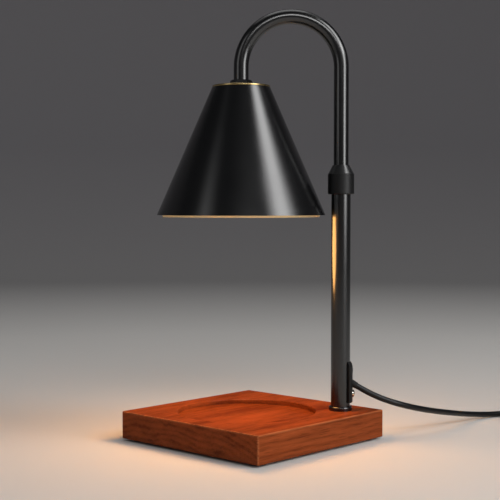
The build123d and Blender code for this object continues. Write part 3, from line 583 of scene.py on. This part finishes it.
class LAMP_OT_cord(bpy.types.Operator):
    """Lays the supply cord from the mast to its coil and on to the plug"""

    bl_idname = "lamp.cord"
    bl_label = "Supply cord"

    @staticmethod
    def coil_points(cord):
        """Clockwise turns from the coil's top: the radius falls evenly to the middle of the
        winding and grows again on a second layer, which it climbs to within a quarter turn."""
        per_turn = 16
        inside = math.cos(math.pi / per_turn)  # the spline's radius, as a share of its points'
        entry_turn = math.asin((TAIL_ROUTE[0][1] - COIL_CENTRE.y) / cord.outer_radius) / math.tau
        turn = np.arange(1, int((cord.turns - entry_turn) * per_turn)) / per_turn
        middle = cord.turns / 2
        inward = 1 - np.abs(turn - middle) / middle
        radius = cord.outer_radius - (cord.outer_radius - cord.inner_radius) * inward
        radius /= inside
        angle = math.pi / 2 - math.tau * turn
        z = LEAD_ROUTE[-1][2] + LAYER_STEP * cord.diameter * smoothstep((turn - middle) * 4 + 0.5)
        x, y = COIL_CENTRE.x + radius * np.cos(angle), COIL_CENTRE.y + radius * np.sin(angle)
        return np.stack([x, y, z], axis=-1)

    def execute(self, context):
        cord = context.scene.lamp_cord
        line = np.concatenate([LEAD_ROUTE, self.coil_points(cord), TAIL_ROUTE])
        data = bpy.data.curves.new("power_cord", "CURVE")
        data.dimensions = "3D"
        data.bevel_depth = cord.diameter / 2
        data.bevel_resolution = 5
        data.resolution_u = 8
        data.use_fill_caps = True
        spline = data.splines.new("NURBS")
        spline.points.add(len(line) - 1)
        spline.points.foreach_set("co", np.column_stack([line, np.ones(len(line))]).ravel())
        spline.order_u = 3
        spline.use_endpoint_u = True
        piece = bpy.data.objects.new("power_cord", data)
        context.scene.collection.objects.link(piece)
        skin = moulded("satin_black_pvc", "#0b0b0c", 0.38, 0.5 * MM, 0.006 * MM)
        dress(skin, piece, "plug_boot", "plug_body")
        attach(piece, "base")
        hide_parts("supply_cord", "cord_coil", "plug_tail")
        return {"FINISHED"}


class LAMP_OT_cord_tie(bpy.types.Operator):
    bl_idname = "lamp.cord_tie"
    bl_label = "Cord tie"

    @staticmethod
    def strap(cord):
        """The strap's points, and the place of each on the tape when it is unrolled. Its line goes
        round the cord's turns as a rounded rectangle, |x/a|^4 + |z/b|^4 = 1, and on past its own
        start, where it steps out by a little more than its thickness. Its section runs out along
        one face and back along the other, and bends with the coil."""
        thick, width = 0.6 * MM, cord.tie_width
        wraps, first_angle = 1.32, 0.6 * math.pi
        lap_start, lap_length, lap_step = 0.96, 0.08, 1.1 * thick
        side_gap, flat_gap = 0.1 * MM, 0.02 * MM
        turns = np.linspace(0, wraps, 170)
        lap = lap_step * smoothstep((turns - lap_start) / lap_length)
        a = (cord.outer_radius - cord.inner_radius + cord.diameter + thick) / 2 + side_gap + lap
        b = (cord.diameter * (1 + LAYER_STEP) + thick) / 2 + flat_gap + lap
        go = math.tau * turns + first_angle
        # square roots, so that the fourth powers are cos^2 and sin^2, which add up to 1
        line_x = a * np.sign(np.cos(go)) * np.sqrt(np.abs(np.cos(go)))
        line_z = b * np.sign(np.sin(go)) * np.sqrt(np.abs(np.sin(go)))
        line_z += LEAD_ROUTE[-1][2] + cord.diameter / 2
        length = np.concatenate([[0], np.cumsum(np.hypot(np.diff(line_x), np.diff(line_z)))])
        slope = np.arctan2(np.gradient(line_z), np.gradient(line_x))
        steps = 7
        side = np.concatenate([np.linspace(-0.5, 0.5, steps), np.linspace(0.5, -0.5, steps)]) * width
        face = np.concatenate([np.full(steps, 0.5), np.full(steps, -0.5)]) * thick
        low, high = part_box("cord_tie")
        centre = (low + high) / 2 - COIL_CENTRE
        middle = (cord.outer_radius + cord.inner_radius) / 2
        radius = middle + line_x[:, None] + np.sin(slope)[:, None] * face
        turn = math.atan2(centre.y, centre.x) + side / middle
        x, y = COIL_CENTRE.x + radius * np.cos(turn), COIL_CENTRE.y + radius * np.sin(turn)
        z = line_z[:, None] - np.cos(slope)[:, None] * face
        along = np.concatenate([length[:1], length, length[-1:]])
        unrolled = np.stack(np.broadcast_arrays(along[:, None], side), axis=-1)
        return with_ends(np.stack([x, y, z], axis=-1)), unrolled

    def execute(self, context):
        cord = context.scene.lamp_cord
        points, unrolled = self.strap(cord)
        piece = grid_piece("hook_and_loop_tie", points, poles=True, uv=unrolled)
        dress(woven_tape(), piece)
        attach(piece, "base")
        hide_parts("cord_tie")
        return {"FINISHED"}


class LAMP_OT_wood(bpy.types.Operator):
    """Gives the base its varnished walnut"""

    bl_idname = "lamp.wood"
    bl_label = "Wooden base"

    def execute(self, context):
        dress(varnished_walnut(context.scene.lamp_looks), "wooden_base")
        return {"FINISHED"}


class LAMP_OT_paint(bpy.types.Operator):
    """Powder coats the mast, the arm, the shade and their rings"""

    bl_idname = "lamp.paint"
    bl_label = "Black steel"

    def execute(self, context):
        looks = context.scene.lamp_looks
        coat = satin_powder_coat(looks)
        dress(coat, "mast_tube", "mast_foot_ring", "arm_tube", "neck_nut", "shade")
        dress(satin_powder_coat(looks, "powder_coat_with_matt_grip", COLLAR_SHOULDER), "clamp_collar")
        return {"FINISHED"}


class LAMP_OT_yellow_metal(bpy.types.Operator):
    """Turns the brass cap and gives the shade its gold inside"""

    bl_idname = "lamp.yellow_metal"
    bl_label = "Brass and gold"

    def execute(self, context):
        looks = context.scene.lamp_looks
        brass = turned_metal("turned_brass", looks.brass, 0.24, HEAD_X, 0.8 * MM, 0.006 * MM)
        dress(brass, "shade_cap")
        gold = turned_metal("spun_gold_lacquered_aluminium", looks.gold, 0.6, HEAD_X, 2.2 * MM, 0.01 * MM)
        dress(gold, "shade_liner")
        drawn = fitting_metal("drawn_brass", "#cda653", 0.3, 2 * MM)
        dress(drawn, "plug_blades", "bulb_pins", "threaded_nipple")
        return {"FINISHED"}


class LAMP_OT_fasteners(bpy.types.Operator):
    """Plates the bolts, nuts, washers, brackets and the button"""

    bl_idname = "lamp.fasteners"
    bl_label = "Fasteners and button"

    def execute(self, context):
        zinc = fitting_metal("zinc_plated_steel", "#b4b8bd", 0.36, 4 * MM)
        dress(zinc, "mast_plug", "mast_bolt", "mast_washer", "lock_washer", "lock_nut")
        dress(zinc, "holder_bracket", "holder_screws", "arm_stop_ring")
        dress(fitting_metal("black_oxide_steel", "#1c1c1d", 0.4, 2 * MM), "housing_screw")
        dress(fitting_metal("polished_nickel", "#dcd6cb", 0.14, 5 * MM), "push_button")
        return {"FINISHED"}


class LAMP_OT_plastics(bpy.types.Operator):
    """Gives the housing, boots, feet and wires their moulded skins"""

    bl_idname = "lamp.plastics"
    bl_label = "Plastic and rubber"

    def execute(self, context):
        nylon = moulded("textured_black_nylon", "#0f0f10", 0.46, 0.5 * MM, 0.012 * MM)
        dress(nylon, "switch_housing", "collet_bush", "switch_body")
        rubber = moulded("black_rubber", "#161616", 0.72, 0.9 * MM, 0.03 * MM)
        dress(rubber, *[f"foot_pad_{i + 1}" for i in range(4)], "cord_strain_relief")
        sleeve = moulded("extruded_wire_insulation", "#1a1a1a", 0.5, 1.2 * MM, 0.005 * MM)
        dress(sleeve, "mast_wire", "arm_wire", "switch_leads", "splice_sleeve")
        return {"FINISHED"}


class LAMP_OT_bulb(bpy.types.Operator):
    """Gives the lamp holder its ceramic and the bulb its silvered bowl, and lights the bulb"""

    bl_idname = "lamp.bulb"
    bl_label = "Bulb and holder"

    def execute(self, context):
        looks = context.scene.lamp_looks
        dress(fired_steatite(), "lamp_holder")
        dress(silvered_reflector(), "bulb_body")
        # the light that the bulb throws down on the candle, as a ball as wide as a candle jar
        ball_radius, drop = 42 * MM, 50 * MM
        data = bpy.data.lights.new("bulb_light", "POINT")
        data.color = looks.glow
        data.shadow_soft_size = ball_radius
        # the power of a ball is its brightness times (2 pi r)^2
        data.energy = looks.beam_strength * (2 * math.pi * ball_radius) ** 2
        beam = bpy.data.objects.new("bulb_light", data)
        beam.location = (HEAD_X, 0, LENS_LOW - drop)
        beam.visible_camera = False
        context.scene.collection.objects.link(beam)
        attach(beam, "arm")
        return {"FINISHED"}


class LAMP_OT_lens(bpy.types.Operator):
    """Presses the bulb's front glass: a disc whose face is covered with small pebbles"""

    bl_idname = "lamp.lens"
    bl_label = "Bulb lens"

    @staticmethod
    def lens_points():
        """A profile turned about the bulb's axis: a flat front, a quarter-circle corner and a flat
        back. Three cosine waves at 60 degrees add up to a field from -1.5 to 3 in a hexagonal
        pattern. Where it is highest the front stays level, and where it is lowest the front is
        sunk by the pebbles' height. The pebbles fade out towards a plain rim."""
        pitch, height, rounding = 2.6 * MM, 0.16 * MM, 1.0 * MM
        # how far in from the edge the pebbles start to fade, and over what width
        fade_start, fade_width = 2.4 * MM, 1.2 * MM
        radii = np.linspace(0, LENS_RADIUS - rounding, 72)
        front = np.stack([radii, np.full_like(radii, LENS_LOW)], axis=-1)
        bend = np.linspace(0, math.pi / 2, 7)[1:]
        corner = [LENS_RADIUS - rounding * (1 - np.sin(bend)), LENS_LOW + rounding * (1 - np.cos(bend))]
        back = [[LENS_RADIUS, LENS_HIGH], [0, LENS_HIGH]]
        profile = np.concatenate([front, np.stack(corner, axis=-1), back])
        turn = np.linspace(0, math.tau, 288, endpoint=False)
        x, y = profile[:, :1] * np.cos(turn), profile[:, :1] * np.sin(turn)
        waves = [x * math.cos(angle) + y * math.sin(angle) for angle in (0, math.pi / 3, 2 * math.pi / 3)]
        field = sum(np.cos(math.tau / pitch * wave) for wave in waves)
        level = smoothstep((np.hypot(x, y) - LENS_RADIUS + fade_start) / fade_width)
        sunk = height * (1 - (field + 1.5) / 4.5) * (1 - level)
        z = np.broadcast_to(profile[:, 1:], x.shape).copy()
        z[: len(radii)] += sunk[: len(radii)]
        return np.stack([x + HEAD_X, y, z], axis=-1)[:, ::-1]

    def execute(self, context):
        piece = grid_piece("pebbled_lens", self.lens_points(), poles=True)
        dress(lit_frosted_glass(context.scene.lamp_looks), piece, "bulb_capsule")
        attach(piece, "bulb")
        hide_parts("bulb_lens")
        return {"FINISHED"}


class LAMP_OT_return_spring(bpy.types.Operator):
    """Winds the button's return spring at its free length; the real spring shortens as the button goes in
    """

    bl_idname = "lamp.return_spring"
    bl_label = "Return spring"

    def execute(self, context):
        low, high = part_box("button_spring")
        middle = (low + high) / 2
        wire_radius, turns = 0.2 * MM, 2.75
        radius = (high.z - low.z) / 2 - wire_radius
        free_length = high.x - low.x
        # a helix along x
        wind = np.linspace(0, math.tau * turns, 100)
        outward = np.stack([np.zeros_like(wind), np.cos(wind), np.sin(wind)], axis=-1)
        path = np.array([low.x + wire_radius, middle.y, middle.z]) + radius * outward
        path[:, 0] += (free_length - 2 * wire_radius) * wind / wind[-1]
        piece = grid_piece("return_spring", wire_points(path, outward, wire_radius), poles=True)
        dress(fitting_metal("spring_steel", "#9fa2a6", 0.3, 2 * MM), piece)
        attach(piece, "base")
        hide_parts("button_spring")
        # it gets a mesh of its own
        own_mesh(piece)
        return {"FINISHED"}


class LAMP_OT_slack_wire(bpy.types.Operator):
    """Winds the mast's spare wire in turns that leave room for the arm's wire to come down"""

    bl_idname = "lamp.slack_wire"
    bl_label = "Slack wire"

    def execute(self, context):
        low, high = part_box("slack_wire")
        mast_low, mast_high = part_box("mast_tube")
        wire_radius, radius, turns = 1.2 * MM, 3.5 * MM, 6.0
        centre = (mast_low + mast_high) / 2
        # a helix about the mast's axis
        wind = np.linspace(0, math.tau * turns, 241)
        outward = np.stack([np.cos(wind), np.sin(wind), np.zeros_like(wind)], axis=-1)
        path = np.array([centre.x, centre.y, low.z + wire_radius]) + radius * outward
        path[:, 2] += (high.z - low.z - 2 * wire_radius) * wind / wind[-1]
        piece = grid_piece("slack_wire_turns", wire_points(path, outward, wire_radius), poles=True)
        # it is the same wire as the straight length under it, which is dressed before this
        dress(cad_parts["mast_wire"].material_slots[0].material, piece)
        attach(piece, "base")
        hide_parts("slack_wire")
        return {"FINISHED"}


class LAMP_OT_stage(bpy.types.Operator):
    """Builds the pale floor and backdrop and sets the studio lights round them"""

    bl_idname = "lamp.stage"
    bl_label = "Studio"

    # of each softbox: where it hangs, the point it faces, its width and its height
    softboxes = {
        "key": ((1.22, -0.60, 1.42), (0, 0, 1.42), 1.00, 1.35),
        "side": ((1.06, -0.86, 0.54), (0, 0, 0.54), 0.90, 0.74),
        "front": ((0.25, -1.39, 0.93), (0, 0, 0.30), 1.30, 0.28),
        "fill": ((-1.33, -0.90, 0.85), (0, 0, 0.85), 0.90, 1.40),
        "top": ((0.0, 0.6, 2.40), (0, 0.1, 0), 2.60, 1.80),
    }

    @staticmethod
    def softbox(name, place, aim, width, height, level):
        """A one-sided panel that is brightest along its middle: a narrow one hangs 20 mm in front
        of a wide one. The power of each is its brightness times pi times its area."""
        place, aim = Vector(place), Vector(aim)
        for part, share, bright, ahead in (("rim", 1.0, 0.35, 0.0), ("core", 0.52, 0.65, 20 * MM)):
            data = bpy.data.lights.new(f"{name}_{part}", "AREA")
            data.shape = "RECTANGLE"
            data.size, data.size_y = width * share, height
            data.energy = bright * level * math.pi * data.size * data.size_y
            panel = bpy.data.objects.new(data.name, data)
            panel.location = place + ahead * (aim - place).normalized()
            panel.rotation_euler = (aim - place).to_track_quat("-Z", "Y").to_euler()
            panel.visible_camera = False
            bpy.context.scene.collection.objects.link(panel)

    @staticmethod
    def backdrop(studio):
        """A bowl turned about the lamp: a flat floor, a quarter-circle bend and an upright wall.
        Its paper darkens evenly outwards, from the floor's colour to the wall's."""
        flat, bend_radius, wall = 2.0, 1.0, 1.8
        fade_start, fade_end = 0.8, 2.8
        out = np.linspace(0, flat, 40)
        bend = np.linspace(0, math.pi / 2, 24)[1:]
        radius = np.concatenate([out, flat + bend_radius * np.sin(bend), [flat + bend_radius]])
        height = np.concatenate([np.zeros_like(out), bend_radius * (1 - np.cos(bend)), [wall]])
        turn = np.linspace(0, math.tau, 128, endpoint=False)
        x, y = radius[:, None] * np.cos(turn), radius[:, None] * np.sin(turn)
        z = np.broadcast_to(height[:, None], x.shape)
        bowl = grid_piece("studio_floor", np.stack([x, y, z], axis=-1))
        made, tree, place = new_finish("matt_studio_paper")
        tooth = add(tree, "TexNoise", {"Vector": place, "Scale": 1 / (1.5 * MM)})
        away = add(tree, "VectorMath", {0: place}, operation="LENGTH").outputs["Value"]
        fade = add(tree, "MapRange", {"Value": away, "From Min": fade_start, "From Max": fade_end})
        shader = {
            "Base Color": add(tree, "ValToRGB", {"Fac": fade}, [(0.0, studio.floor), (1.0, studio.wall)]),
            "Roughness": 0.9,
            "Specular IOR Level": 0.0,
            "Normal": add(tree, "Bump", {"Height": tooth, "Distance": 0.01 * MM}),
        }
        add(tree, "OutputMaterial", {"Surface": add(tree, "BsdfPrincipled", shader)})
        dress(made, bowl)

    def execute(self, context):
        studio = context.scene.lamp_studio
        self.backdrop(studio)
        for name, (place, aim, width, height) in self.softboxes.items():
            self.softbox(f"{name}_softbox", place, aim, width, height, getattr(studio, f"{name}_level"))
        world = bpy.data.worlds.new("studio_air")
        world.use_nodes = True
        air = world.node_tree.nodes["Background"].inputs
        air["Color"].default_value = rgba("#e9edf2")
        air["Strength"].default_value = studio.air_level
        context.scene.world = world
        context.scene.view_settings.view_transform = "Standard"
        return {"FINISHED"}


class LAMP_PT_panel(bpy.types.Panel):
    """Lists the lamp's settings and the operators that build it"""

    bl_idname = "LAMP_PT_panel"
    bl_label = "Candle Warmer Lamp"
    bl_space_type = "VIEW_3D"
    bl_region_type = "UI"
    bl_category = "Lamp"

    def draw(self, context):
        for group in (context.scene.lamp_looks, context.scene.lamp_cord, context.scene.lamp_studio):
            box = self.layout.box()
            for name in group.__annotations__:
                box.prop(group, name)
        for operator in OPERATORS:
            self.layout.operator(operator.bl_idname)


OPERATORS = (
    LAMP_OT_camera,
    LAMP_OT_cord,
    LAMP_OT_cord_tie,
    LAMP_OT_wood,
    LAMP_OT_paint,
    LAMP_OT_yellow_metal,
    LAMP_OT_fasteners,
    LAMP_OT_plastics,
    LAMP_OT_bulb,
    LAMP_OT_lens,
    LAMP_OT_return_spring,
    LAMP_OT_slack_wire,
    LAMP_OT_stage,
)
CLASSES = (LampLooks, LampCord, LampStudio, *OPERATORS, LAMP_PT_panel)


def register():
    """Registers the classes and hangs the settings on the scene."""
    for item in CLASSES:
        bpy.utils.register_class(item)
    bpy.types.Scene.lamp_looks = bpy.props.PointerProperty(type=LampLooks)
    bpy.types.Scene.lamp_cord = bpy.props.PointerProperty(type=LampCord)
    bpy.types.Scene.lamp_studio = bpy.props.PointerProperty(type=LampStudio)


def unregister():
    """Takes the settings and the classes away again."""
    del bpy.types.Scene.lamp_looks, bpy.types.Scene.lamp_cord, bpy.types.Scene.lamp_studio
    for item in reversed(CLASSES):
        bpy.utils.unregister_class(item)


def main():
    """Builds everything in order."""
    register()
    bpy.ops.lamp.camera()
    bpy.ops.lamp.cord()
    bpy.ops.lamp.cord_tie()
    bpy.ops.lamp.wood()
    bpy.ops.lamp.paint()
    bpy.ops.lamp.yellow_metal()
    bpy.ops.lamp.fasteners()
    bpy.ops.lamp.plastics()
    bpy.ops.lamp.bulb()
    bpy.ops.lamp.lens()
    bpy.ops.lamp.return_spring()
    bpy.ops.lamp.slack_wire()
    bpy.ops.lamp.stage()


if __name__ == "__main__":
    main()
